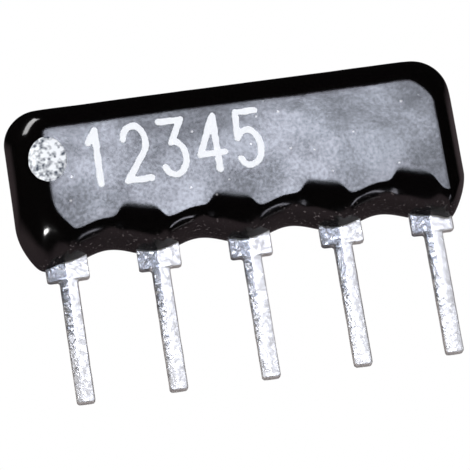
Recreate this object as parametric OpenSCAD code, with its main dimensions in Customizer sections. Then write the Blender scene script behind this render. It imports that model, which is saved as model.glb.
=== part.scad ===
// Single-in-line resistor network: a thick-film plate with clip-on leads, dipped in black epoxy.
// X runs along the lead row from pin one, Y from the marked face to the back, Z is up.
// The origin is the middle of the lead row, on the seating plane under the lead shoulders.

/* [Leads] */
// Number of leads in the row
lead_count = 5; // [4:1:8]
// Spacing of the leads
lead_pitch = 2.54; // [2.3:0.01:3.2]
// Thickness of the lead strip
lead_thickness = 0.25; // [0.2:0.01:0.32]
// Width of the pin that goes through the board
pin_width = 0.51; // [0.4:0.01:0.65]
// Length of the pin below the seating plane
pin_length = 3.48; // [2.5:0.02:6]
// Chamfer on the sheared pin tip
pin_tip_chamfer = 0.05; // [0.02:0.01:0.12]
// Width of the shoulder that stands on the board
shoulder_width = 1.18; // [1:0.02:1.4]
// Height of the flat shoulder above the seating plane
shoulder_height = 0.78; // [0.6:0.02:1]
// Fillet between the pin and the shoulder
pin_fillet = 0.08; // [0.03:0.01:0.12]
// Rounding of the shoulder's lower corners
shoulder_corner = 0.06; // [0.02:0.01:0.1]

/* [Clips] */
// Height over which the fingers spread apart
clip_rise = 0.68; // [0.64:0.02:0.9]
// Width of the slits between the fingers
finger_slit = 0.05; // [0.03:0.01:0.1]
// Width of the middle finger, which bears on the back of the plate
back_finger_width = 0.36; // [0.28:0.02:0.46]
// Height of the fingers' straight stretch on the plate
finger_grip = 0.85; // [0.6:0.05:1.1]
// Height of the flared finger tips
flare_height = 0.18; // [0.1:0.02:0.26]
// How far the finger tips flare away from the plate
flare_offset = 0.08; // [0.03:0.01:0.12]

/* [Plate] */
// Thickness of the ceramic plate
plate_thickness = 0.8; // [0.6:0.05:1]
// Height of the ceramic plate
plate_height = 3.02; // [2.9:0.02:4.5]
// Length of the plate beyond the axis of each end lead
plate_overhang = 0.7; // [0.7:0.02:1]

/* [Films] */
// Thickness of a printed conductor or resistor film
film_thickness = 0.02; // [0.015:0.005:0.04]
// Width of a pad beyond the lead shoulder on each side
pad_side = 0.1; // [0.04:0.02:0.1]
// Bare strip between the pads and the plate's lower edge
pad_edge_gap = 0.05; // [0.02:0.01:0.1]
// Pad left free above the finger tips
pad_clear = 0.06; // [0.04:0.02:0.12]
// Height of the common bar
bus_height = 0.36; // [0.26:0.02:0.5]
// Bare strip between the common bar and the plate's upper edge
bus_edge_gap = 0.22; // [0.1:0.02:0.3]
// Width of the track from the common bar to the first pad
bus_leg_width = 0.5; // [0.3:0.02:0.8]
// Width of a resistor film
resistor_width = 1.1; // [0.7:0.05:1.3]
// Overlap of a resistor film on the conductors at each end
film_lap = 0.2; // [0.1:0.02:0.24]
// Width of the laser trim cut
trim_kerf = 0.05; // [0.03:0.01:0.08]
// Reach of the trim cut across the resistor film
trim_reach = 0.45; // [0.2:0.05:0.6]
// Length of the trim cut's leg along the resistor film
trim_leg = 0.3; // [0.1:0.05:0.4]
// Thickness of the glass over the resistor films
glaze_thickness = 0.02; // [0.015:0.005:0.03]
// Margin of the glass round the resistor films
glaze_margin = 0.1; // [0.04:0.02:0.14]

/* [Solder] */
// Solder over the outer face of the front fingers
solder_cover = 0.06; // [0.02:0.01:0.1]
// Run of the solder's sloped sides
solder_slope = 0.16; // [0.08:0.02:0.24]

/* [Coating] */
// Coating over the clips on the front and the back
coat_face = 0.4; // [0.3:0.02:0.6]
// Coating past each end of the plate
coat_end = 0.48; // [0.4:0.02:0.7]
// Coating above the plate
coat_top = 0.46; // [0.36:0.02:0.7]
// Drop of the coating below the plate between the leads
coat_drop = 0.66; // [0.5:0.02:0.74]
// Further drop of the coating down each lead
lead_run = 0.22; // [0:0.02:0.26]
// Further drop of the coating outside the end leads
end_run = 0.27; // [0:0.02:0.34]
// Rounding of the upper edge
top_round = 0.87; // [0.5:0.02:1]
// Rounding of the end beside pin one
first_end_round = 1.1; // [0.6:0.02:1.2]
// Rounding of the other end
last_end_round = 0.7; // [0.4:0.02:0.8]
// Radius of the upper corners
top_corner = 1.1; // [0.7:0.05:1.3]
// Length of the lower corners along the row
low_corner_length = 0.55; // [0.4:0.05:0.7]
// Height of the lower corners
low_corner_height = 1; // [0.6:0.05:1.2]
// Height of the rounded lower edge between the leads
gap_skirt = 0.42; // [0.3:0.02:0.7]
// Height of the rounded lower edge over a lead
lead_skirt = 1.05; // [0.7:0.05:1.2]
// Length along the row over which the lower edge changes beside a clip
skirt_blend = 0.3; // [0.2:0.02:0.5]
// Swelling of the coating over each clip
clip_bulge = 0.03; // [0:0.01:0.14]
// Spread of each swelling up and down
bulge_spread = 0.5; // [0.3:0.05:0.7]

/* [Mark] */
// Width of the pin one dot
dot_width = 1.05; // [0.6:0.05:1.1]
// Height of the pin one dot
dot_height = 1.28; // [0.6:0.02:1.4]
// Middle of the dot from the end of the coating
dot_inset = 1.04; // [0.98:0.02:1.4]
// Middle of the dot below the top of the coating
dot_drop = 1.72; // [1.64:0.02:2]
// Thickness of the ink above the coating
ink_thickness = 0.02; // [0.015:0.005:0.04]
// Depth to which the ink bites into the coating
ink_bite = 0.012; // [0.01:0.002:0.02]

/* [Hidden] */
LEADS = [1 : lead_count];
RESISTORS = [1 : lead_count - 1];
$fn = 32;

// Lengths along the row
row_half = (lead_count - 1) * lead_pitch / 2;
plate_half = row_half + plate_overhang;
coat_half = plate_half + coat_end;

// Heights above the seating plane
plate_low = shoulder_height + clip_rise;
plate_high = plate_low + plate_height;
grip_high = plate_low + finger_grip;
tip_high = grip_high + flare_height;
pad_low = plate_low + pad_edge_gap;
glaze_low = tip_high + pad_clear;
pad_high = glaze_low + glaze_margin + film_lap;
bus_high = plate_high - bus_edge_gap;
bus_low = bus_high - bus_height;
glaze_high = bus_low + film_lap + glaze_margin;
coat_high = plate_high + coat_top;
coat_low = plate_low - coat_drop;

// Depths from the middle of the plate
plate_face = plate_thickness / 2;
film_face = plate_face + film_thickness;
glaze_face = film_face + film_thickness + glaze_thickness;
solder_face = film_face + lead_thickness + solder_cover;
coat_half_depth = plate_face + lead_thickness + coat_face;

// Widths
pad_width = shoulder_width + 2 * pad_side;
front_finger_width = (shoulder_width - back_finger_width) / 2 - finger_slit;

// Steps of the bent fingers and of the coating's skin
bend_steps = 10;
finger_root = 0.1;
station_step = 0.13;
end_steps = 12;
end_sweep = 87;
skirt_steps = 8;
face_steps = 6;
crown_steps = 7;
drip_spread = 0.35;
dot_rings = 3;
dot_sides = 36;

// Middle of a lead along the row
function lead_x(i) = (i - 1) * lead_pitch - row_half;

// A box between two corners
module span(low, high) {
    translate(low)
        cube(high - low);
}

// A film on the front of the plate, from x0 to x1 and z0 to z1, between two depths
module film(x0, x1, z0, z1, inner, outer) {
    span([x0, -outer, z0], [x1, -inner, z1]);
}

// Flat outline of the shoulder and the pin
module lead_blank() {
    difference() {
        union() {
            translate([-shoulder_width / 2, 0])
                square([shoulder_width, shoulder_height]);
            polygon([
                [-pin_width / 2, shoulder_height / 2],
                [-pin_width / 2, pin_tip_chamfer - pin_length],
                [pin_tip_chamfer - pin_width / 2, -pin_length],
                [pin_width / 2 - pin_tip_chamfer, -pin_length],
                [pin_width / 2, pin_tip_chamfer - pin_length],
                [pin_width / 2, shoulder_height / 2]
            ]);
            translate([-pin_width / 2 - pin_fillet, -pin_fillet])
                square([pin_width + 2 * pin_fillet, 2 * pin_fillet]);
        }
        for (side = [-1, 1]) {
            translate([side * (pin_width / 2 + pin_fillet), -pin_fillet])
                circle(pin_fillet);
            translate([side * shoulder_width / 2, 0])
                difference() {
                    square(2 * shoulder_corner, center = true);
                    translate([-side * shoulder_corner, shoulder_corner])
                        circle(shoulder_corner);
                }
        }
    }
}

// Side view of a finger: an S-bend from the strip to the plate, a straight grip and a flared tip
function bend_line(offset) = [
    for (i = [0 : bend_steps])
        let (share = i / bend_steps)
        [
            offset * (1 - cos(180 * share)) / 2,
            shoulder_height + clip_rise * share,
            atan(offset / clip_rise * PI / 2 * sin(180 * share)),
            1
        ]
];

function finger_line(offset) =
    let (flare = atan(flare_offset / flare_height) * sign(offset))
    concat(
        [[0, shoulder_height - finger_root, 0, 1]],
        bend_line(offset),
        [
            [offset, grip_high, flare / 2, 1 / cos(flare / 2)],
            [offset + flare_offset * sign(offset), tip_high, flare, 1]
        ]
    );

function beside(line, shift) = [
    for (p = line)
        [p[0] + shift * p[3] * cos(p[2]), p[1] - shift * p[3] * sin(p[2])]
];

function backwards(list) = [for (i = [len(list) - 1 : -1 : 0]) list[i]];

module finger(offset, x0, width) {
    line = finger_line(offset);
    half = lead_thickness / 2;
    translate([x0, 0, 0])
        rotate([90, 0, 90])
            linear_extrude(width)
                polygon(concat(beside(line, half), backwards(beside(line, -half))));
}

// A stamped lead: pin, shoulder, two fingers on the pads and one on the back of the plate
module terminal_shape() {
    rotate([90, 0, 0])
        linear_extrude(lead_thickness, center = true)
            lead_blank();
    front = -film_face - lead_thickness / 2;
    finger(front, -shoulder_width / 2, front_finger_width);
    finger(front, shoulder_width / 2 - front_finger_width, front_finger_width);
    finger(plate_face + lead_thickness / 2, -back_finger_width / 2, back_finger_width);
}

module terminal(i) {
    color("gainsboro")
        translate([lead_x(i), 0, 0])
            terminal_shape();
}

// Sloped mound of solder over the front fingers, filling the space between them
module solder(i) {
    color("lightsteelblue")
        difference() {
            translate([lead_x(i), 0, 0])
                solder_mound();
            terminal(i);
        }
}

module solder_mound() {
    half = pad_width / 2;
    intersection() {
        translate([0, 0, pad_low])
            linear_extrude(tip_high - pad_low)
                polygon([
                    [-half, -film_face],
                    [half, -film_face],
                    [half - solder_slope, -solder_face],
                    [solder_slope - half, -solder_face]
                ]);
        translate([-half, 0, 0])
            rotate([90, 0, 90])
                linear_extrude(pad_width)
                    polygon([
                        [-film_face, pad_low],
                        [-film_face, tip_high],
                        [-solder_face, tip_high - solder_slope],
                        [-solder_face, pad_low + solder_slope]
                    ]);
    }
}

// Fired ceramic plate
module substrate() {
    color("ivory")
        span([-plate_half, -plate_face, plate_low], [plate_half, plate_face, plate_high]);
}

// Conductor pad under the front fingers of a lead
module pad(i) {
    color("silver")
        film(lead_x(i) - pad_width / 2, lead_x(i) + pad_width / 2, pad_low, pad_high, plate_face, film_face);
}

// Common bar with its track down to the first pad
module bus_conductor() {
    color("silver")
        union() {
            pad(1);
            film(
                lead_x(1) - bus_leg_width / 2,
                lead_x(lead_count) + resistor_width / 2 + glaze_margin,
                bus_low, bus_high, plate_face, film_face
            );
            film(
                lead_x(1) - bus_leg_width / 2,
                lead_x(1) + bus_leg_width / 2,
                pad_high - film_lap, bus_high, plate_face, film_face
            );
        }
}

// Resistor film above pad i + 1, lapped over the pad and the common bar, with its L-shaped trim cut
module resistor(i) {
    left = lead_x(i + 1) - resistor_width / 2;
    right = left + resistor_width;
    middle = (pad_high + bus_low) / 2;
    outer = film_face + film_thickness;
    color("dimgray")
        difference() {
            union() {
                film(left, right, pad_high, bus_low, plate_face, film_face);
                film(left, right, pad_high - film_lap, bus_low + film_lap, film_face, outer);
            }
            film(right - trim_reach, right, middle - trim_leg, middle - trim_leg + trim_kerf, 0, outer);
            film(
                right - trim_reach, right - trim_reach + trim_kerf,
                middle - trim_leg, middle, 0, outer
            );
        }
}

// Glass fired over the resistor films
module overglaze() {
    color("seagreen")
        difference() {
            film(
                lead_x(2) - resistor_width / 2 - glaze_margin,
                lead_x(lead_count) + resistor_width / 2 + glaze_margin,
                glaze_low, glaze_high, plate_face, glaze_face
            );
            films();
        }
}

module films() {
    bus_conductor();
    for (i = RESISTORS) {
        pad(i + 1);
        resistor(i);
    }
}

// How far a place lies into the rounding of an end, from 0 to 1
function end_share(x, reach) = max(0, abs(x) - coat_half + reach) / reach;

// Quarter round that falls from 1 to 0
function round_off(share) = sqrt(max(0, 1 - share * share));

// Rounding of the end on the side of a place along the row
function end_round(x) = x < 0 ? first_end_round : last_end_round;

// Nearness to a lead along the row: 1 on its axis, 0 midway between two leads
function lead_share(x) = (1 + cos(360 * (x - lead_x(1)) / lead_pitch)) / 2;

// Share of a clip's run of coating: 1 over the clip's width, blending to 0 beside it
function clip_share(x) =
    let (
        nearest = max(1, min(lead_count, 1 + round((x - lead_x(1)) / lead_pitch))),
        beyond = abs(x - lead_x(nearest)) - shoulder_width / 2,
        share = max(0, min(1, 0.5 - beyond / skirt_blend))
    )
    share * share * (3 - 2 * share);

// Upper and lower outline of the coating in front view
function skin_high(x) = coat_high - top_corner * (1 - round_off(end_share(x, top_corner)));

function skin_low(x) =
    let (drip = (abs(x) - row_half - shoulder_width / 2) / drip_spread)
    coat_low - lead_run * lead_share(x) - end_run * exp(-drip * drip)
        + low_corner_height * (1 - round_off(end_share(x, low_corner_length)));

// Half depth of the coating on its flat faces, and the swelling over the clips
function skin_depth(x) = coat_half_depth * round_off(end_share(x, end_round(x)));

function skin_swell(x, z) =
    let (rise = (z - plate_low - bulge_spread / 2) / bulge_spread)
    clip_bulge * pow(lead_share(x), 2) * exp(-rise * rise);

// Front half of a section across the row, from the lowest point to the highest, as depth and height
function skirt_point(x, turn, low, high) =
    let (z = high - (high - low) * cos(turn))
    [(skin_depth(x) + skin_swell(x, z)) * sin(turn), z];

function face_point(x, z) = [skin_depth(x) + skin_swell(x, z), z];

function crown_point(x, turn, low, high) = [skin_depth(x) * cos(turn), low + (high - low) * sin(turn)];

function half_section(x) =
    let (
        shrink = round_off(end_share(x, end_round(x))),
        bottom = skin_low(x),
        top = skin_high(x),
        skirt = bottom + shrink * (gap_skirt + (lead_skirt - gap_skirt) * clip_share(x)),
        crown = top - shrink * top_round
    )
    concat(
        [for (i = [0 : skirt_steps - 1]) skirt_point(x, 90 * i / skirt_steps, bottom, skirt)],
        [for (i = [0 : face_steps - 1]) face_point(x, skirt + (crown - skirt) * i / face_steps)],
        [for (i = [0 : crown_steps]) crown_point(x, 90 * i / crown_steps, crown, top)]
    );

function section(x) =
    let (half = half_section(x), last = len(half) - 1)
    concat(
        [for (p = half) [x, -p[0], p[1]]],
        [for (i = [last - 1 : -1 : 1]) [x, half[i][0], half[i][1]]]
    );

// Places of the sections: even steps along the flat stretch, then round each end
function stations() =
    let (
        first = first_end_round - coat_half,
        last = coat_half - last_end_round,
        count = ceil((last - first) / station_step)
    )
    concat(
        [for (i = [end_steps : -1 : 1]) first - first_end_round * sin(end_sweep * i / end_steps)],
        [for (i = [0 : count]) first + (last - first) * i / count],
        [for (i = [1 : end_steps]) last + last_end_round * sin(end_sweep * i / end_steps)]
    );

// Outer form of the dipped coating, lofted through its sections
module coat_form() {
    rings = [for (x = stations()) section(x)];
    sides = len(rings[0]);
    points = [for (ring = rings) for (p = ring) p];
    strips = [
        for (i = [0 : len(rings) - 2])
            for (j = [0 : sides - 1])
                let (a = i * sides + j, b = i * sides + (j + 1) % sides)
                for (face = [[a, b, a + sides], [b, b + sides, a + sides]]) face
    ];
    first = [for (j = [sides - 1 : -1 : 0]) j];
    final = [for (j = [0 : sides - 1]) (len(rings) - 1) * sides + j];
    polyhedron(points, concat(strips, [first], [final]));
}

// Epoxy coating, which fills every space round the pieces inside it
module coating() {
    color([0.06, 0.055, 0.055])
        difference() {
            coat_form();
            substrate();
            films();
            overglaze();
            for (i = LEADS) {
                terminal(i);
                solder(i);
            }
            pin_one_dot();
        }
}

// Printed dot beside pin one: a thin oval of ink that follows the face of the coating
function dot_place(ring, side) =
    let (share = ring / dot_rings, turn = 360 * side / dot_sides)
    [
        dot_inset - coat_half + dot_width / 2 * share * cos(turn),
        coat_high - dot_drop + dot_height / 2 * share * sin(turn)
    ];

function dot_layer(lift) = [
    for (ring = [1 : dot_rings])
        for (side = [0 : dot_sides - 1])
            let (p = dot_place(ring, side))
            [p[0], -face_point(p[0], p[1])[0] - lift, p[1]]
];

module pin_one_dot() {
    count = dot_rings * dot_sides;
    rim = count - dot_sides;
    quads = [
        for (ring = [0 : dot_rings - 2])
            for (side = [0 : dot_sides - 1])
                let (a = ring * dot_sides + side, b = ring * dot_sides + (side + 1) % dot_sides)
                for (face = [[a, b, a + dot_sides], [b, b + dot_sides, a + dot_sides]]) face
    ];
    middle = [for (side = [0 : dot_sides - 1]) side];
    wall = [
        for (side = [0 : dot_sides - 1])
            let (a = rim + side, b = rim + (side + 1) % dot_sides)
            for (face = [[a, b, a + count], [b, b + count, a + count]]) face
    ];
    back = [for (face = concat(quads, [backwards(middle)])) [for (p = backwards(face)) p + count]];
    color("whitesmoke")
        polyhedron(
            concat(dot_layer(ink_thickness), dot_layer(-ink_bite)),
            concat(quads, [backwards(middle)], wall, back)
        );
}

coating();
pin_one_dot();
substrate();
bus_conductor();
overglaze();
for (i = RESISTORS) {
    pad(i + 1);
    resistor(i);
}
for (i = LEADS) {
    terminal(i);
    solder(i);
}
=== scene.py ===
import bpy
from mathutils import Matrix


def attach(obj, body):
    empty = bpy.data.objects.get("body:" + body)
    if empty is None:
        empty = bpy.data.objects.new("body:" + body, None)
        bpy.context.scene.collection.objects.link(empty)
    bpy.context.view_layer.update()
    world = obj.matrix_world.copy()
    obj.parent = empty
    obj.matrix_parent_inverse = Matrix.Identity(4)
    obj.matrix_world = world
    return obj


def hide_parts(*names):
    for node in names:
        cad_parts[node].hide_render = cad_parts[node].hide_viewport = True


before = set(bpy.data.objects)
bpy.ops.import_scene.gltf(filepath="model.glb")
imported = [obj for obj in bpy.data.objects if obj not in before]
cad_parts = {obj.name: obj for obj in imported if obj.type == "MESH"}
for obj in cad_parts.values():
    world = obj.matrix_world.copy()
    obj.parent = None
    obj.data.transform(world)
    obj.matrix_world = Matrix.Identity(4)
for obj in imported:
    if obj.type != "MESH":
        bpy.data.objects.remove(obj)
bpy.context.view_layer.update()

import ast
import math

import bmesh
import bpy
import numpy as np
from mathutils import Matrix, Vector, noise

mm = 0.001
leadCount, leadPitch = 5, 2.54  # the pitch in mm
rowHalf = leadPitch * (leadCount - 1) / 2
scene = bpy.context.scene
scene.view_settings.view_transform = "Standard"


def srgb(hexText):  # sRGB hex to the linear colour that a shader reads
    channels = [int(hexText[i:i + 2], 16) / 255 for i in (1, 3, 5)]
    return [c / 12.92 if c <= 0.04045 else ((c + 0.055) / 1.055) ** 2.4 for c in channels] + [1.0]


def addNode(tree, kind, inputs=None, **settings):  # one node with its settings and links
    node = tree.nodes.new(kind)
    for name, value in settings.items():
        setattr(node, name, value)
    for name, value in (inputs or {}).items():
        if isinstance(value, bpy.types.NodeSocket):
            tree.links.new(value, node.inputs[name])
        else:
            node.inputs[name].default_value = value
    return node


def rampStops(node, stops):  # the colours of a ramp, each as a place and a hex
    ramp = node.color_ramp
    while len(ramp.elements) > 2:
        ramp.elements.remove(ramp.elements[-1])
    while len(ramp.elements) < len(stops):
        ramp.elements.new(0.5)
    for element, (place, hexText) in zip(ramp.elements, sorted(stops)):
        element.position = place
        element.color = srgb(hexText)
    return node.outputs[0]


def startMaterial(name):  # a bare shader, its output and the piece's own coordinates
    material = bpy.data.materials.new(name)
    material.use_nodes = True
    tree = material.node_tree
    tree.nodes.clear()
    shader = addNode(tree, "ShaderNodeBsdfPrincipled")
    addNode(tree, "ShaderNodeOutputMaterial", {"Surface": shader.outputs[0]})
    place = addNode(tree, "ShaderNodeTexCoord").outputs["Object"]
    return material, tree, shader, place


def perSize(millimetres):  # a texture scale from the real size of one feature
    return 1 / (millimetres * mm)


def writeRule(tree, text, known):  # a rule written as plain arithmetic becomes Math nodes
    operators = {ast.Add: "ADD", ast.Sub: "SUBTRACT", ast.Mult: "MULTIPLY", ast.Div: "DIVIDE"}
    functions = {"sin": "SINE", "cos": "COSINE", "exp": "EXPONENT", "sqrt": "SQRT", "abs": "ABSOLUTE",
                 "min": "MINIMUM", "max": "MAXIMUM", "sign": "SIGN"}

    def make(part):
        if isinstance(part, ast.Constant):
            return float(part.value)
        if isinstance(part, ast.Name):
            return known[part.id]
        if isinstance(part, ast.BinOp):
            operation, terms = operators[type(part.op)], [part.left, part.right]
        else:
            operation, terms = functions[part.func.id], part.args
        values = {i: make(term) for i, term in enumerate(terms)}
        return addNode(tree, "ShaderNodeMath", values, operation=operation).outputs[0]

    return make(ast.parse(text).body[0].value)


def startTree(name, inputs):  # a Geometry Nodes tree with named inputs
    tree = bpy.data.node_groups.new(name, "GeometryNodeTree")
    for label, kind in inputs.items():
        tree.interface.new_socket(label, in_out="INPUT", socket_type=kind)
    tree.interface.new_socket("Geometry", in_out="OUTPUT", socket_type="NodeSocketGeometry")
    return tree, addNode(tree, "NodeGroupInput").outputs


def endTree(tree, geometry, material, smooth):  # every tree ends as real faces with a finish
    real = addNode(tree, "GeometryNodeRealizeInstances", {"Geometry": geometry})
    shaded = addNode(tree, "GeometryNodeSetShadeSmooth", {
        "Geometry": real.outputs[0], "Shade Smooth": smooth})
    done = addNode(tree, "GeometryNodeSetMaterial", {"Geometry": shaded.outputs[0], "Material": material})
    addNode(tree, "NodeGroupOutput", {"Geometry": done.outputs[0]})


def growPiece(name, data, tree, values):  # runs a tree once and keeps its plain mesh
    holder = bpy.data.objects.new(name + ".holder", data)
    scene.collection.objects.link(holder)
    modifier = holder.modifiers.new("grow", "NODES")
    modifier.node_group = tree
    for item in tree.interface.items_tree:
        if item.item_type == "SOCKET" and item.in_out == "INPUT" and item.name in values:
            modifier[item.identifier] = values[item.name]
    depsgraph = bpy.context.evaluated_depsgraph_get()
    mesh = bpy.data.meshes.new_from_object(holder.evaluated_get(depsgraph))
    mesh.name = name
    bpy.data.objects.remove(holder)
    piece = bpy.data.objects.new(name, mesh)
    scene.collection.objects.link(piece)
    return piece


def outwards(piece):  # closed skins get their faces turned outwards
    shape = bmesh.new()
    shape.from_mesh(piece.data)
    bmesh.ops.recalc_face_normals(shape, faces=shape.faces)
    shape.to_mesh(piece.data)
    shape.free()


def keepPiece(piece, slot, *nodes):  # the piece rides on the part and stands for its solids
    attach(piece, "root")
    if nodes:
        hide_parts(*nodes)
    print("piece", piece.name, len(piece.data.polygons), "faces")


# Materials

epoxyLook = {  # sizes and depths in mm, with the grain and the pits drawn coarser than they are; the pits' lighter tone is a painted glint
    "black": "#050404", "dustTone": "#adabaa", "pitGlintTone": "#565050",
    "grain": 0.085, "wave": 0.7, "cloud": 1.7, "dust": 0.5, "pits": 0.09,
    "grainDepth": 0.004, "waveDepth": 0.01, "cloudSeed": 635.25, "dustShare": 0.5,
    "roundGloss": 0.1, "hazyGloss": 0.24, "clearGloss": 0.14, "grainGloss": (-0.05, 0.03),  # roughness
}


def glossyEpoxy():  # dipped black epoxy: mirror gloss on its rounds, a grainy haze on its flats, some dust
    look = epoxyLook
    material, tree, shader, place = startMaterial("dippedBlackEpoxy")
    grain = addNode(tree, "ShaderNodeTexNoise", {
        "Vector": place, "Scale": perSize(look["grain"]), "Detail": 3})
    wave = addNode(tree, "ShaderNodeTexNoise", {
        "Vector": place, "Scale": perSize(look["wave"]), "Detail": 2})
    cloud = addNode(tree, "ShaderNodeTexNoise", {
        "Vector": place, "Scale": perSize(look["cloud"]), "Detail": 2, "W": look["cloudSeed"],
    }, noise_dimensions="4D")
    normal = addNode(tree, "ShaderNodeTexCoord").outputs["Normal"]
    facing = addNode(tree, "ShaderNodeSeparateXYZ", {0: normal}).outputs
    flat = addNode(tree, "ShaderNodeMath", {0: facing["Y"]}, operation="ABSOLUTE")
    onFace = addNode(tree, "ShaderNodeMapRange", {  # the true flats alone
        "Value": flat.outputs[0], "From Min": 0.994, "From Max": 0.999})
    below = addNode(tree, "ShaderNodeMapRange", {  # where the skin turns under
        "Value": facing["Z"], "From Min": -0.3, "From Max": -0.6})
    haze = addNode(tree, "ShaderNodeMath", {
        0: onFace.outputs[0], 1: below.outputs[0]}, operation="MAXIMUM")

    # dust lies on the flats, in the middle of some cells
    cells = addNode(tree, "ShaderNodeTexVoronoi", {"Vector": place, "Scale": perSize(look["dust"])})
    speck = addNode(tree, "ShaderNodeMapRange", {
        "Value": cells.outputs["Distance"], "From Min": 0.05, "From Max": 0.08, "To Min": 1, "To Max": 0})
    some = addNode(tree, "ShaderNodeMath", {
        0: cells.outputs["Color"], 1: look["dustShare"]}, operation="GREATER_THAN")
    lying = addNode(tree, "ShaderNodeMath", {
        0: speck.outputs[0], 1: some.outputs[0]}, operation="MULTIPLY")
    dust = addNode(tree, "ShaderNodeMath", {
        0: lying.outputs[0], 1: onFace.outputs[0]}, operation="MULTIPLY")

    # pits show where the drained edge faces down, in a tone lighter than the black that paints the glint of
    # the light reflected there from below
    under = addNode(tree, "ShaderNodeMapRange", {
        "Value": facing["Z"], "From Min": -0.6, "From Max": -0.85})
    holes = addNode(tree, "ShaderNodeTexNoise", {
        "Vector": place, "Scale": perSize(look["pits"]), "Detail": 1})
    ring = addNode(tree, "ShaderNodeMapRange", {
        "Value": holes.outputs["Fac"], "From Min": 0.64, "From Max": 0.76})
    pits = addNode(tree, "ShaderNodeMath", {
        0: ring.outputs[0], 1: under.outputs[0]}, operation="MULTIPLY")
    # the pits get a lighter tone here as a painted glint
    pitGlinted = addNode(tree, "ShaderNodeMix", {
        "Factor": pits.outputs[0], "A": srgb(look["black"]), "B": srgb(look["pitGlintTone"]),
    }, data_type="RGBA")
    colour = addNode(tree, "ShaderNodeMix", {
        "Factor": dust.outputs[0], "A": pitGlinted.outputs["Result"], "B": srgb(look["dustTone"]),
    }, data_type="RGBA")

    # the haze drifts in clouds, broken up by the grain
    dull = addNode(tree, "ShaderNodeMapRange", {
        "Value": grain.outputs["Fac"], "From Min": 0.32, "From Max": 0.68,
        "To Min": look["grainGloss"][0], "To Max": look["grainGloss"][1]})
    veil = addNode(tree, "ShaderNodeMapRange", {
        "Value": cloud.outputs["Fac"], "From Min": 0.36, "From Max": 0.64,
        "To Min": look["hazyGloss"], "To Max": look["clearGloss"]})
    hazed = addNode(tree, "ShaderNodeMath", {
        0: dull.outputs[0], 1: veil.outputs[0]}, operation="ADD")
    gloss = addNode(tree, "ShaderNodeMix", {
        "Factor": haze.outputs[0], "A": look["roundGloss"], "B": hazed.outputs[0]})
    fine = addNode(tree, "ShaderNodeBump", {
        "Height": grain.outputs["Fac"], "Strength": 0.15, "Distance": look["grainDepth"] * mm})
    broad = addNode(tree, "ShaderNodeBump", {
        "Height": wave.outputs["Fac"], "Strength": 0.4, "Distance": look["waveDepth"] * mm,
        "Normal": fine.outputs[0]})
    tree.links.new(colour.outputs["Result"], shader.inputs["Base Color"])
    tree.links.new(gloss.outputs["Result"], shader.inputs["Roughness"])
    tree.links.new(broad.outputs[0], shader.inputs["Normal"])
    shader.inputs["IOR"].default_value = 1.55
    return material


inkLook = {  # sizes and depth in mm
    "white": "#f0f2f4", "pore": "#414a57", "poreSize": 0.13, "poreDepth": 0.004, "poreBlend": 0.3,
    "blotch": 0.45, "blotchShare": 0.4, "dotPores": 0.61, "digitPores": 1.3,
}


def printedInk(name, poreLevel):  # screen-printed white epoxy ink: matt, with pores where it lies thin
    look = inkLook
    material, tree, shader, place = startMaterial(name)
    pores = addNode(tree, "ShaderNodeTexNoise", {
        "Vector": place, "Scale": perSize(look["poreSize"]), "Detail": 1})
    thinInkAndShadedTin = addNode(tree, "ShaderNodeTexNoise", {
        "Vector": place, "Scale": perSize(look["blotch"]), "Detail": 1})
    both = addNode(tree, "ShaderNodeMath", {
        0: thinInkAndShadedTin.outputs["Fac"], 1: look["blotchShare"], 2: pores.outputs["Fac"]}, operation="MULTIPLY_ADD")
    bare = addNode(tree, "ShaderNodeMapRange", {
        "Value": both.outputs[0], "From Min": poreLevel, "From Max": poreLevel + look["poreBlend"]})
    colour = addNode(tree, "ShaderNodeMix", {
        "Factor": bare.outputs[0], "A": srgb(look["white"]), "B": srgb(look["pore"]),
    }, data_type="RGBA")
    matt = addNode(tree, "ShaderNodeMapRange", {
        "Value": pores.outputs["Fac"], "To Min": 0.45, "To Max": 0.7})
    dents = addNode(tree, "ShaderNodeBump", {
        "Height": both.outputs[0], "Strength": 0.3, "Distance": look["poreDepth"] * mm}, invert=True)
    tree.links.new(colour.outputs["Result"], shader.inputs["Base Color"])
    tree.links.new(matt.outputs[0], shader.inputs["Roughness"])
    tree.links.new(dents.outputs[0], shader.inputs["Normal"])
    return material


tinLook = {  # sizes and depths in mm, and the share of grey that painted shade adds on the left of each lead
    "pale": "#f4f1ed", "grey": "#96989d", "patch": 0.13, "patchDepth": 0.024, "frost": 0.035,
    "frostDepth": 0.004, "leftShadeShare": 0.36, "paleUntil": 0.66, "greyFrom": 0.86,
    "satin": 0.52, "mirror": 0.07,  # roughness
}


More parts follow.
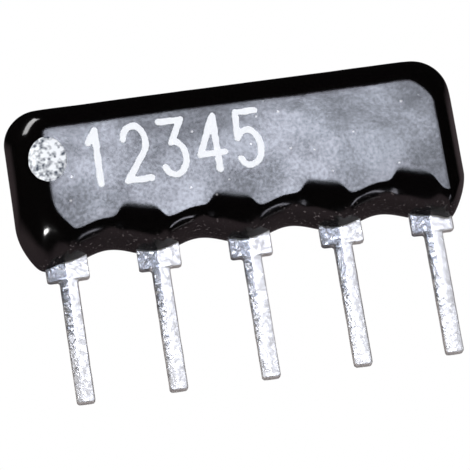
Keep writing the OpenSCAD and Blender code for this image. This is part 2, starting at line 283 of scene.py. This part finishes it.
def hotTin(name):  # hot-dipped tin: pale satin with grey patches, and on the left of each lead, towards its top, more grey as painted shade on a bumpier mirror
    look = tinLook
    material, tree, shader, place = startMaterial(name)
    patch = addNode(tree, "ShaderNodeTexNoise", {
        "Vector": place, "Scale": perSize(look["patch"]), "Detail": 4, "Roughness": 0.6, "Distortion": 0.6})
    frost = addNode(tree, "ShaderNodeTexNoise", {
        "Vector": place, "Scale": perSize(look["frost"]), "Detail": 2})
    # how much painted shade lies on the left of the lead; it also makes the tin there bumpier and glossier
    thinInkAndShadedTin = addNode(tree, "ShaderNodeAttribute", attribute_name="thinTin")
    mottleAndShade = addNode(tree, "ShaderNodeMath", {
        0: thinInkAndShadedTin.outputs["Fac"], 1: look["leftShadeShare"], 2: patch.outputs["Fac"]}, operation="MULTIPLY_ADD")
    colour = rampStops(addNode(tree, "ShaderNodeValToRGB", {"Fac": mottleAndShade.outputs[0]}),
                       [(look["paleUntil"], look["pale"]), (look["greyFrom"], look["grey"])])
    gloss = addNode(tree, "ShaderNodeMapRange", {
        "Value": mottleAndShade.outputs[0], "From Min": 0.35, "From Max": 0.9,
        "To Min": look["satin"], "To Max": look["mirror"]})
    fine = addNode(tree, "ShaderNodeBump", {
        "Height": frost.outputs["Fac"], "Strength": 0.1, "Distance": look["frostDepth"] * mm})
    bumpy = addNode(tree, "ShaderNodeMapRange", {
        "Value": thinInkAndShadedTin.outputs["Fac"], "To Min": 0.25, "To Max": 1})
    broad = addNode(tree, "ShaderNodeBump", {
        "Height": patch.outputs["Fac"], "Strength": bumpy.outputs[0], "Distance": look["patchDepth"] * mm,
        "Normal": fine.outputs[0]})
    shader.inputs["Metallic"].default_value = 0.75  # the frost on the tin scatters some light
    tree.links.new(colour, shader.inputs["Base Color"])
    tree.links.new(gloss.outputs[0], shader.inputs["Roughness"])
    tree.links.new(broad.outputs[0], shader.inputs["Normal"])
    return material


filmLook = {"darkUntil": 0.35, "lightFrom": 0.65, "sheenSpread": 0.1, "gritDepth": 0.005}  # depth in mm


def firedFilm(name, dark, light, grit, rough, metallic):  # a printed and fired layer: fine grit in two tones
    look = filmLook
    material, tree, shader, place = startMaterial(name)
    grains = addNode(tree, "ShaderNodeTexNoise", {"Vector": place, "Scale": perSize(grit), "Detail": 4})
    colour = rampStops(addNode(tree, "ShaderNodeValToRGB", {"Fac": grains.outputs["Fac"]}),
                       [(look["darkUntil"], dark), (look["lightFrom"], light)])
    sheen = addNode(tree, "ShaderNodeMapRange", {
        "Value": grains.outputs["Fac"],
        "To Min": rough - look["sheenSpread"], "To Max": rough + look["sheenSpread"]})
    rise = addNode(tree, "ShaderNodeBump", {
        "Height": grains.outputs["Fac"], "Strength": 0.3, "Distance": look["gritDepth"] * mm})
    shader.inputs["Metallic"].default_value = metallic
    tree.links.new(colour, shader.inputs["Base Color"])
    tree.links.new(sheen.outputs[0], shader.inputs["Roughness"])
    tree.links.new(rise.outputs[0], shader.inputs["Normal"])
    return material


blackEpoxy = glossyEpoxy()
dotInk = printedInk("printedWhiteInkDot", inkLook["dotPores"])
digitInk = printedInk("printedWhiteInkDigits", inkLook["digitPores"])
tinned = hotTin("hotDippedTin")
insideLooks = {  # what the coating hides keeps the solids' own shapes
    "substrate": firedFilm("firedAlumina", "#e4e0d8", "#f3f0ea", 0.08, 0.6, 0),
    "bus_conductor": firedFilm("firedSilverFilm", "#a9a59c", "#cfccc4", 0.05, 0.4, 1),
    "pad": firedFilm("firedSilverPad", "#aca89f", "#d2cfc7", 0.05, 0.4, 1),
    "resistor": firedFilm("firedRutheniumFilm", "#1b1a1c", "#2c2a2d", 0.06, 0.5, 0),
    "overglaze": firedFilm("firedGreenGlaze", "#23463a", "#2f5a4a", 0.12, 0.2, 0),
    "solder": firedFilm("frozenSolder", "#a7abb2", "#cdd0d6", 0.15, 0.3, 1),
}
for nodeName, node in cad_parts.items():
    for prefix, look in insideLooks.items():
        if nodeName.startswith(prefix):
            node.data.materials.clear()
            node.data.materials.append(look)
print("materials made")

# The coating: one skin that a rule draws round the plate and the clips

coatSizes = {  # mm, the solids' driving sizes, with the unevenness of one dipped piece
    "Half length": 6.27, "Half depth": 1.05, "Top": 4.98, "Bottom": 0.81, "Pitch": leadPitch,
    "Row half": rowHalf, "Shoulder half": 0.59, "Lead run": 0.3, "End run": 0.27, "Drip spread": 0.35,
    "End round": 0.92, "Top corner": 0.98, "Low corner length": 0.5, "Low corner height": 0.9,
    "Gap skirt": 0.53, "Lead skirt": 1.16, "Top round": 0.87, "Clip half": 0.55, "Clip edge": 0.08,
    "Clip lean": -0.32, "Face corner": 0.62, "Heel start": 4.92, "Heel length": 0.45, "Heel rise": 1.6,
    "Top tilt": 0.04, "Shift": -0.055, "Unevenness": 0.012, "Wave size": 1.6,
}
coatShares = {"End lean": 0.25, "Corner lean": 0.03}  # the left end is rounder, its top corner tighter
coatParts = {  # how the grid is shared out along the row and round it, and the pull of the face's corners
    "straightPart": 0.8, "endPart": 0.2, "underPart": 0.3, "facePart": 0.32, "overStart": 0.62,
    "overPart": 0.38, "cornerPull": 2.2, "leftPull": 0.5, "quarterTurn": 1.5708, "fullTurn": 6.28319,
}
coatCounts = {"along": 401, "round": 201}


def coatTree():
    kinds = {label: "NodeSocketFloat" for label in {**coatSizes, **coatShares}}
    kinds["Material"] = "NodeSocketMaterial"
    tree, given = startTree("dipCoat", kinds)
    grid = addNode(tree, "GeometryNodeMeshGrid", {
        "Size X": 2, "Size Y": 2, "Vertices X": coatCounts["along"], "Vertices Y": coatCounts["round"]})
    place = addNode(tree, "GeometryNodeInputPosition").outputs[0]
    flat = addNode(tree, "ShaderNodeSeparateXYZ", {0: place})
    known = {"t": flat.outputs["X"], "ring": flat.outputs["Y"], **coatParts}
    for label in {**coatSizes, **coatShares}:
        words = label.split()
        known[words[0].lower() + "".join(w.capitalize() for w in words[1:])] = given[label]
    rules = [
        ("away", "abs(t)"),
        ("turnIn", "endRound * (1 - endLean * sign(t))"),
        ("x", "sign(t) * ((halfLength - turnIn) * min(away / straightPart, 1)"
              " + turnIn * sin(quarterTurn * max(away - straightPart, 0) / endPart))"),
        ("lead", "(1 + cos(fullTurn * (x + rowHalf) / pitch)) / 2"),
        ("clipTurn", "fullTurn * (x - clipLean + rowHalf) / pitch"),
        ("clipCut", "cos(fullTurn * clipHalf / pitch)"),
        ("clip", "1 / (1 + exp(0 - (cos(clipTurn) - clipCut) * pitch / fullTurn / clipEdge))"),
        ("endShare", "max(0, abs(x) - halfLength + turnIn) / turnIn"),
        ("shrink", "sqrt(max(0, 1 - endShare * endShare))"),
        ("bend", "topCorner * (1 + cornerLean * sign(t))"),
        ("topShare", "max(0, abs(x) - halfLength + bend) / bend"),
        ("high", "top + topTilt * x / halfLength - bend * (1 - sqrt(max(0, 1 - topShare * topShare)))"),
        ("lowShare", "max(0, abs(x) - halfLength + lowCornerLength) / lowCornerLength"),
        ("drip", "(abs(x) - rowHalf - shoulderHalf) / dripSpread"),
        ("low", "bottom - leadRun * lead - endRun * exp(0 - drip * drip)"
                " + lowCornerHeight * (1 - sqrt(max(0, 1 - lowShare * lowShare)))"),
        ("heel", "max(0, 0 - x - heelStart) / heelLength"),
        ("foot", "shrink * (gapSkirt + heelRise * heel * heel / (1 + heel))"),
        ("bulge", "shrink * (leadSkirt - gapSkirt) * clip"),
        ("skirt", "low + foot + bulge"),
        ("nook", "max(0, x - halfLength + turnIn + faceCorner) / faceCorner"),
        ("leftNook", "max(0, 0 - x - heelStart) / faceCorner"),
        ("corners", "sqrt(1 + cornerPull * nook * nook) - 1"
                    " + leftPull * (sqrt(1 + cornerPull * leftNook * leftNook) - 1)"),
        ("crown", "high - shrink * (topRound + faceCorner * corners)"),
        ("climb", "1 - abs(ring)"),
        ("under", "quarterTurn * min(climb / underPart, 1)"),
        ("over", "quarterTurn * max(climb - overStart, 0) / overPart"),
        ("face", "min(max((climb - underPart) / facePart, 0), 1)"),
        ("rise", "1 - cos(under)"),
        ("z", "low + foot * rise + bulge * rise * rise"
              " + (crown - skirt) * face + (high - crown) * sin(over)"),
        ("y", "sign(ring) * halfDepth * shrink * sin(under) * cos(over)"),
    ]
    for name, text in rules:
        known[name] = writeRule(tree, text, known)
    spot = addNode(tree, "ShaderNodeCombineXYZ", {
        "X": writeRule(tree, "x + shift", known), "Y": known["y"], "Z": known["z"]})
    drawn = addNode(tree, "GeometryNodeSetPosition", {
        "Geometry": grid.outputs["Mesh"], "Position": spot.outputs[0]})
    closed = addNode(tree, "GeometryNodeMergeByDistance", {  # the two ends and the lower seam
        "Geometry": drawn.outputs[0], "Distance": 0.002 * mm})
    wave = addNode(tree, "ShaderNodeTexNoise", {"Scale": writeRule(tree, "1 / waveSize", known), "Detail": 1})
    push = writeRule(tree, "(fac - 0.5) * 2 * unevenness", {**known, "fac": wave.outputs["Fac"]})
    normal = addNode(tree, "GeometryNodeInputNormal").outputs[0]
    out = addNode(tree, "ShaderNodeVectorMath", {0: normal, "Scale": push}, operation="SCALE")
    uneven = addNode(tree, "GeometryNodeSetPosition", {
        "Geometry": closed.outputs[0], "Offset": out.outputs[0]})
    endTree(tree, uneven.outputs[0], given["Material"], True)
    return tree


coatValues = {label: size * mm for label, size in coatSizes.items()}
coatValues.update(coatShares)
coatValues["Material"] = blackEpoxy
coat = growPiece("dippedCoat", bpy.data.meshes.new("coatStart"), coatTree(), coatValues)
outwards(coat)
keepPiece(coat, "epoxy", "coating")

# The leads: the stamped shape, rounded and thickened by its tin

leadSizes = {  # mm, apart from the counts and shares
    "pinHalf": 0.255, "shoulderHalf": coatSizes["Shoulder half"], "coated": 0.85, "weld": 0.001,
    "voxel": 0.025, "rounding": 2, "softness": 0.5, "pillow": 0.02, "lean": 0.01,
    "ripple": 0.008, "rippleSize": 0.42, "rippleStep": 7,
    # the left of each lead, which sinks and carries painted shade that fades down the pin
    "shadedSide": 0.04, "shadeBlend": 0.1, "shadeFade": 4.2, "leastShade": 0.3,
}


def tinnedLead(index):
    sizes = leadSizes
    shape = bmesh.new()
    shape.from_mesh(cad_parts[f"terminal_{index}"].data)
    bmesh.ops.remove_doubles(shape, verts=shape.verts, dist=sizes["weld"] * mm)
    bmesh.ops.scale(shape, vec=(1 / mm, 1 / mm, 1 / mm), verts=shape.verts)  # in mm, Remesh has a least voxel
    data = bpy.data.meshes.new("leadStart")
    shape.to_mesh(data)
    shape.free()
    holder = bpy.data.objects.new("leadHolder", data)
    scene.collection.objects.link(holder)
    remesh = holder.modifiers.new("skin", "REMESH")
    remesh.mode = "VOXEL"
    remesh.voxel_size = sizes["voxel"]
    soften = holder.modifiers.new("soften", "SMOOTH")
    soften.factor = sizes["softness"]
    soften.iterations = sizes["rounding"]
    mesh = bpy.data.meshes.new_from_object(holder.evaluated_get(bpy.context.evaluated_depsgraph_get()))
    bpy.data.objects.remove(holder)

    # the tin swells in the middle, sinks on the left and ripples, where the coating leaves it bare
    count = len(mesh.vertices)
    spots, ways = np.zeros(count * 3), np.zeros(count * 3)
    mesh.vertices.foreach_get("co", spots)
    mesh.vertices.foreach_get("normal", ways)
    spots, ways = spots.reshape(-1, 3), ways.reshape(-1, 3)
    across = spots[:, 0] - ((index - 1) * leadPitch - rowHalf)
    half = np.where(spots[:, 2] < 0, sizes["pinHalf"], sizes["shoulderHalf"])
    swell = sizes["pillow"] * np.clip(1 - (across / half) ** 2, 0, 1) * ways[:, 1] ** 2
    ownStart = Vector((0, 0, sizes["rippleStep"] * index))
    wave = np.array([noise.noise(Vector(p) / sizes["rippleSize"] + ownStart) for p in spots])
    seen = spots[:, 2] < sizes["coated"]
    sink = sizes["lean"] * np.clip(sizes["shadedSide"] - across, 0, None) * np.clip(-ways[:, 1], 0, 1)
    push = np.where(seen, swell - sink + wave * sizes["ripple"], 0)
    spots = (spots + ways * push[:, None]) * mm
    mesh.vertices.foreach_set("co", spots.ravel())
    mesh.polygons.foreach_set("use_smooth", [True] * len(mesh.polygons))

    # how much painted shade the left of each lead gets, less down the pin, which also sets its bumps and
    # gloss
    onLeft = np.clip((sizes["shadedSide"] - across) / sizes["shadeBlend"], 0, 1)
    upHigh = np.clip(1 + spots[:, 2] / mm / sizes["shadeFade"], sizes["leastShade"], 1)
    mesh.attributes.new("thinTin", "FLOAT", "POINT").data.foreach_set("value", onLeft * upHigh)
    mesh.materials.clear()
    mesh.materials.append(tinned)
    mesh.name = f"tinnedLead{index}"
    mesh.update()
    lead = bpy.data.objects.new(mesh.name, mesh)
    scene.collection.objects.link(lead)
    keepPiece(lead, "tinned_lead", f"terminal_{index}")


for index in range(1, leadCount + 1):
    tinnedLead(index)

# The print: the dot at lead one, and plain digits on the face

dotSizes = {  # mm, apart from the counts, the lumps and the squareness of the edge
    "x": -5.22, "z": 3.22, "halfWidth": 0.525, "halfHeight": 0.64, "film": 0.02, "bite": 0.01,
    "ragged": 0.02, "lumps": 3, "lumpSeed": 4, "squareness": 10, "rings": 24, "sides": 144, "castFrom": -5,
}


def frontSkin(x, z):  # how far out the coating's front lies, in mm
    start = Vector((x * mm, dotSizes["castFrom"] * mm, z * mm))
    hit, spot, _, _ = coat.ray_cast(start, Vector((0, 1, 0)))
    return spot.y / mm if hit else -coatSizes["Half depth"]


def inkDot():
    sizes = dotSizes
    shape = bmesh.new()
    layers = []
    for side in (1, -1):  # the ink's face, then its underside in the coating
        loops = []
        for ring in range(1, sizes["rings"] + 1):
            share = ring / sizes["rings"]
            loop = []
            for step in range(sizes["sides"]):
                turn = 2 * math.pi * step / sizes["sides"]
                across, up = math.cos(turn), math.sin(turn)
                lump = noise.noise(Vector((sizes["lumps"] * across, sizes["lumps"] * up, sizes["lumpSeed"])))
                edge = 1 + sizes["ragged"] * lump
                x = sizes["x"] + sizes["halfWidth"] * share * edge * across
                z = sizes["z"] + sizes["halfHeight"] * share * edge * up
                film = sizes["film"] * math.sqrt(max(0, 1 - share ** sizes["squareness"]))
                rise = film if side > 0 else -sizes["bite"]
                loop.append(shape.verts.new((x * mm, (frontSkin(x, z) - rise) * mm, z * mm)))
            loops.append(loop)
        y = frontSkin(sizes["x"], sizes["z"]) - (sizes["film"] if side > 0 else -sizes["bite"])
        middle = shape.verts.new((sizes["x"] * mm, y * mm, sizes["z"] * mm))
        layers.append((middle, loops))
    for middle, loops in layers:
        for step in range(sizes["sides"]):
            after = (step + 1) % sizes["sides"]
            shape.faces.new((middle, loops[0][step], loops[0][after]))
            for low, high in zip(loops, loops[1:]):
                shape.faces.new((low[step], high[step], high[after], low[after]))
    top, bottom = [loops[-1] for middle, loops in layers]
    for step in range(sizes["sides"]):
        after = (step + 1) % sizes["sides"]
        shape.faces.new((top[step], bottom[step], bottom[after], top[after]))
    bmesh.ops.recalc_face_normals(shape, faces=shape.faces)
    for face in shape.faces:
        face.smooth = True
    mesh = bpy.data.meshes.new("inkDot")
    shape.to_mesh(mesh)
    shape.free()
    mesh.materials.append(dotInk)
    dot = bpy.data.objects.new("inkDot", mesh)
    scene.collection.objects.link(dot)
    keepPiece(dot, "ink", "pin_one_dot")


inkDot()

digitSizes = {  # mm
    "Left": -4.36, "Right": 0.8, "Low": 2.18, "High": 3.98, "Stroke": 0.18, "Film": 0.015, "Cell": 0.02,
    "Blot": 0.24, "Far": dotSizes["castFrom"],
}
digitShares = {  # of the stroke, the cell and the film
    "thinnest": 0.3, "spread": 0.4, "margin": 0.7, "bite": 0.5, "rise": 1.5,
}
digitPlan = {"left": -4.2, "right": 0.65, "low": 2.3, "high": 3.86, "width": 0.68}  # mm, stroke middles


def arc(cx, cy, rx, ry, start, end, steps=14):  # part of an oval in a digit's own square
    turns = [math.radians(start + (end - start) * i / steps) for i in range(steps + 1)]
    return [(cx + rx * math.cos(t), cy + ry * math.sin(t)) for t in turns]


digitPaths = [  # 1 to 5, drawn in a unit square
    [[(0.2, 0.78), (0.5, 1), (0.5, 0)]],
    [arc(0.5, 0.68, 0.46, 0.32, 165, -28) + [(0.04, 0), (1, 0)]],
    [[(0.06, 1), (0.94, 1), (0.45, 0.6)] + arc(0.48, 0.31, 0.48, 0.31, 85, -150)],
    [[(0.72, 0), (0.72, 1), (0.02, 0.3), (1, 0.3)]],
    [[(0.92, 1), (0.14, 1), (0.08, 0.52)] + arc(0.48, 0.33, 0.48, 0.33, 120, -145)],
]


def digitTree():  # a fine grid, cut to what lies within half a stroke of the paths and laid on the skin
    kinds = {"Paths": "NodeSocketGeometry", "Skin": "NodeSocketObject"}
    kinds.update({label: "NodeSocketFloat" for label in digitSizes})
    kinds["Material"] = "NodeSocketMaterial"
    tree, given = startTree("printedStrokes", kinds)
    known = {label.lower(): given[label] for label in digitSizes}
    known.update(digitShares)
    grid = addNode(tree, "GeometryNodeMeshGrid", {
        "Size X": writeRule(tree, "right - left", known),
        "Size Y": writeRule(tree, "high - low", known),
        "Vertices X": writeRule(tree, "(right - left) / cell", known),
        "Vertices Y": writeRule(tree, "(high - low) / cell", known)})
    place = addNode(tree, "GeometryNodeInputPosition").outputs[0]
    spot = addNode(tree, "ShaderNodeSeparateXYZ", {0: place}).outputs
    upright = addNode(tree, "ShaderNodeCombineXYZ", {
        "X": writeRule(tree, "x + (right + left) / 2", {**known, "x": spot["X"]}),
        "Z": writeRule(tree, "y + (high + low) / 2", {**known, "y": spot["Y"]})})
    sheet = addNode(tree, "GeometryNodeSetPosition", {
        "Geometry": grid.outputs["Mesh"], "Position": upright.outputs[0]})

    # what lies too far from a path goes, and the rim is pulled in to the stroke's edge
    wires = addNode(tree, "GeometryNodeCurveToMesh", {"Curve": given["Paths"]})
    near = addNode(tree, "GeometryNodeProximity", {"Target": wires.outputs[0]}, target_element="EDGES")
    blots = addNode(tree, "ShaderNodeTexNoise", {
        "Vector": place, "Scale": writeRule(tree, "1 / blot", known), "Detail": 1})
    known["away"] = near.outputs["Distance"]
    known["fac"] = blots.outputs["Fac"]
    known["half"] = writeRule(tree, "stroke * (thinnest + spread * fac)", known)  # ink spreads unevenly
    outside = addNode(tree, "ShaderNodeMath", {
        0: known["away"], 1: writeRule(tree, "half + cell * margin", known)}, operation="GREATER_THAN")
    cut = addNode(tree, "GeometryNodeDeleteGeometry", {
        "Geometry": sheet.outputs[0], "Selection": outside.outputs[0]})
    pull = writeRule(tree, "min(1, half / max(away, cell / 100))", known)
    arm = addNode(tree, "ShaderNodeVectorMath", {0: place, 1: near.outputs["Position"]}, operation="SUBTRACT")
    held = addNode(tree, "ShaderNodeVectorMath", {0: arm.outputs[0], "Scale": pull}, operation="SCALE")
    edge = addNode(tree, "ShaderNodeVectorMath", {
        0: near.outputs["Position"], 1: held.outputs[0]}, operation="ADD")
    trimmed = addNode(tree, "GeometryNodeSetPosition", {
        "Geometry": cut.outputs[0], "Position": edge.outputs[0]})

    # the strokes are laid on the skin, a little into it, and raised by the ink's film
    start = addNode(tree, "ShaderNodeCombineXYZ", {"X": spot["X"], "Y": given["Far"], "Z": spot["Z"]})
    skin = addNode(tree, "GeometryNodeObjectInfo", {"Object": given["Skin"]})
    cast = addNode(tree, "GeometryNodeRaycast", {
        "Target Geometry": skin.outputs["Geometry"], "Source Position": start.outputs[0],
        "Ray Direction": (0, 1, 0), "Ray Length": 20 * mm})
    sunk = addNode(tree, "ShaderNodeCombineXYZ", {"Y": writeRule(tree, "film * bite", known)})
    laid = addNode(tree, "GeometryNodeSetPosition", {
        "Geometry": trimmed.outputs[0], "Position": cast.outputs["Hit Position"], "Offset": sunk.outputs[0]})
    lift = addNode(tree, "ShaderNodeCombineXYZ", {"Y": writeRule(tree, "0 - film * rise", known)})
    raised = addNode(tree, "GeometryNodeExtrudeMesh", {
        "Mesh": laid.outputs[0], "Offset": lift.outputs[0], "Offset Scale": 1.0, "Individual": False})
    under = addNode(tree, "GeometryNodeFlipFaces", {"Mesh": laid.outputs[0]})
    both = addNode(tree, "GeometryNodeJoinGeometry", {0: raised.outputs["Mesh"]})
    tree.links.new(under.outputs[0], both.inputs[0])
    closed = addNode(tree, "GeometryNodeMergeByDistance", {
        "Geometry": both.outputs[0], "Distance": 0.001 * mm})
    endTree(tree, closed.outputs[0], given["Material"], False)
    return tree


def digitCurves():
    plan = digitPlan
    curve = bpy.data.curves.new("digitPaths", "CURVE")
    curve.dimensions = "3D"
    step = (plan["right"] - plan["left"] - plan["width"]) / (len(digitPaths) - 1)
    for index, paths in enumerate(digitPaths):
        for path in paths:
            line = curve.splines.new("POLY")
            line.points.add(len(path) - 1)
            for point, (u, v) in zip(line.points, path):
                x = plan["left"] + step * index + plan["width"] * u
                z = plan["low"] + (plan["high"] - plan["low"]) * v
                point.co = (x * mm, 0, z * mm, 1)
    return curve


digitValues = {label: size * mm for label, size in digitSizes.items()}
digitValues.update({"Skin": coat, "Material": digitInk})
digits = growPiece("inkDigits", digitCurves(), digitTree(), digitValues)
outwards(digits)
keepPiece(digits, "ink")

# Stage, light and camera

stageSizes = {  # mm
    "floor": -42, "reach": 3000, "tooth": 1.5, "backdrop": 260, "backdropSides": (-16, 70),
    "backdropHeights": (34, 120),
}


def sheetObject(name, corners, material):
    mesh = bpy.data.meshes.new(name)
    mesh.from_pydata([[c * mm for c in corner] for corner in corners], [], [range(len(corners))])
    mesh.materials.append(material)
    sheet = bpy.data.objects.new(name, mesh)
    scene.collection.objects.link(sheet)
    return sheet


def matBoard():  # white mat board for the floor: matt, with a faint tooth
    material, tree, shader, place = startMaterial("whiteMatBoard")
    tooth = addNode(tree, "ShaderNodeTexNoise", {
        "Vector": place, "Scale": perSize(stageSizes["tooth"]), "Detail": 2})
    colour = rampStops(addNode(tree, "ShaderNodeValToRGB", {"Fac": tooth.outputs["Fac"]}),
                       [(0.3, "#f1f1f1"), (0.7, "#f5f5f5")])
    tree.links.new(colour, shader.inputs["Base Color"])
    shader.inputs["Roughness"].default_value = 0.9
    return material


def litPaper():  # backdrop paper that the camera, gloss and glass see as plain white
    material, tree, shader, _ = startMaterial("whiteBackdropPaper")
    shader.inputs["Base Color"].default_value = srgb("#f4f4f4")
    shader.inputs["Roughness"].default_value = 0.9
    glow = addNode(tree, "ShaderNodeEmission", {"Color": srgb("#ffffff"), "Strength": 1})
    path = addNode(tree, "ShaderNodeLightPath").outputs
    seen = addNode(tree, "ShaderNodeMath", {
        0: path["Is Camera Ray"], 1: path["Is Glossy Ray"]}, operation="MAXIMUM")
    either = addNode(tree, "ShaderNodeMath", {
        0: seen.outputs[0], 1: path["Is Transmission Ray"]}, operation="MAXIMUM")
    mixed = addNode(tree, "ShaderNodeMixShader", {
        0: either.outputs[0], 1: shader.outputs[0], 2: glow.outputs[0]})
    output = [n for n in tree.nodes if n.type == "OUTPUT_MATERIAL"][0]
    tree.links.new(mixed.outputs[0], output.inputs["Surface"])
    return material


far, low = stageSizes["reach"], stageSizes["floor"]
floorCorners = [(-far, -far, low), (far, -far, low), (far, far, low), (-far, far, low)]
floor = sheetObject("matFloor", floorCorners, matBoard())
floor.visible_glossy = False  # gloss sees the dim studio instead
left, right = stageSizes["backdropSides"]
bottom, high = stageSizes["backdropHeights"]
back = stageSizes["backdrop"]
backdropCorners = [(left, back, bottom), (right, back, bottom), (right, back, high), (left, back, high)]
sheetObject("paperBackdrop", backdropCorners, litPaper())

wattsPerBright = 4  # from how bright a flat lamp's face is, and its area, to its energy
lamps = {  # place, aim and size in mm, how bright its face is, and its tint
    "frontStrip": ((17, -282, 88), (17, 0, 88), (62, 32), 13.4, "#e8eeff"),
    "rightStrip": ((70, -282, 88), (70, 0, 88), (44, 32), 8.5, "#e8eeff"),
    "farStrip": ((121, -282, 88), (121, 0, 88), (58, 32), 3, "#e8eeff"),
    "leftKey": ((-300, -150, 490), (0, 0, 0), (130, 420), 6, "#ffffff"),
    "leftSpark": ((-145, -133, -37), (0, 0, 0), (22, 14), 40, "#ffffff"),
    "lowDash": ((19.6, -20.3, -39.2), (0, 0, 0), (6.3, 24), 4, "#f0f0ff"),
}
for name, (place, aim, size, bright, tint) in lamps.items():
    light = bpy.data.lights.new(name, "AREA")
    light.color = srgb(tint)[:3]
    light.shape = "RECTANGLE"
    light.size, light.size_y = size[0] * mm, size[1] * mm
    light.energy = wattsPerBright * light.size * light.size_y * bright
    lamp = bpy.data.objects.new(name, light)
    lamp.location = Vector(place) * mm
    lamp.rotation_euler = (Vector(aim) - Vector(place)).to_track_quat("-Z", "Y").to_euler()
    lamp.visible_camera = False
    scene.collection.objects.link(lamp)

fills = {  # the side it comes from, its strength and its spread in degrees: soft, and left out of the gloss
    "frontFill": ((-0.45, -0.6, 0.66), 1.35, 60),
    "backFill": ((0.5, 0.6, 0.62), 2.4, 60),
}
for name, (side, strength, spread) in fills.items():
    light = bpy.data.lights.new(name, "SUN")
    light.energy = strength
    light.angle = math.radians(spread)
    lamp = bpy.data.objects.new(name, light)
    lamp.rotation_euler = (-Vector(side)).to_track_quat("-Z", "Y").to_euler()
    lamp.visible_glossy = False
    scene.collection.objects.link(lamp)

studioLook = {"dark": "#101010", "brown": "#a08e93", "lowSide": (-0.55, 0.45, -0.7)}
world = bpy.data.worlds.new("dimStudio")  # nearly black overhead and in front, a dim brown behind and below
world.use_nodes = True
sky = world.node_tree
heading = addNode(sky, "ShaderNodeTexCoord").outputs["Generated"]
way = addNode(sky, "ShaderNodeSeparateXYZ", {0: heading}).outputs
down = addNode(sky, "ShaderNodeVectorMath", {0: heading, 1: studioLook["lowSide"]}, operation="DOT_PRODUCT")
under = addNode(sky, "ShaderNodeMapRange", {
    "Value": down.outputs["Value"], "From Min": 0.5, "From Max": 0.62})
behind = addNode(sky, "ShaderNodeMapRange", {"Value": way["Y"], "From Min": 0.2, "From Max": 0.5})
lowEnough = addNode(sky, "ShaderNodeMapRange", {"Value": way["Z"], "From Min": 0.45, "From Max": 0.3})
wall = addNode(sky, "ShaderNodeMath", {0: behind.outputs[0], 1: lowEnough.outputs[0]}, operation="MULTIPLY")
either = addNode(sky, "ShaderNodeMath", {0: under.outputs[0], 1: wall.outputs[0]}, operation="MAXIMUM")
fade = addNode(sky, "ShaderNodeMapRange", {
    "Value": way["Y"], "From Min": 0.1, "From Max": 0.95, "To Min": 1, "To Max": 0.2})
brown = addNode(sky, "ShaderNodeMath", {0: either.outputs[0], 1: fade.outputs[0]}, operation="MULTIPLY")
tone = addNode(sky, "ShaderNodeMix", {
    "Factor": brown.outputs[0], "A": srgb(studioLook["dark"]), "B": srgb(studioLook["brown"]),
}, data_type="RGBA")
sky.links.new(tone.outputs["Result"], sky.nodes["Background"].inputs["Color"])
scene.world = world

cameraSizes = {  # degrees and mm
    "azimuth": 5.965, "elevation": -16.45, "roll": 9.17, "distance": 85, "aim": (-0.381, -0.144, 0.644),
    "lens": 236.76, "sensor": 36, "near": 1, "far": 4000,
}
turn, lift = math.radians(cameraSizes["azimuth"]), math.radians(cameraSizes["elevation"])
gaze = Vector((math.sin(turn) * math.cos(lift), math.cos(turn) * math.cos(lift), -math.sin(lift)))
cameraData = bpy.data.cameras.new("camera")
cameraData.lens = cameraSizes["lens"]
cameraData.sensor_width = cameraSizes["sensor"]
cameraData.clip_start, cameraData.clip_end = cameraSizes["near"] * mm, cameraSizes["far"] * mm
camera = bpy.data.objects.new("camera", cameraData)
stand = (Vector(cameraSizes["aim"]) - gaze * cameraSizes["distance"]) * mm
level = gaze.to_track_quat("-Z", "Y").to_matrix()
roll = Matrix.Rotation(math.radians(-cameraSizes["roll"]), 3, "Z")
camera.matrix_world = Matrix.Translation(stand) @ (level @ roll).to_4x4()
scene.collection.objects.link(camera)
scene.camera = camera
print("stage, light and camera made")
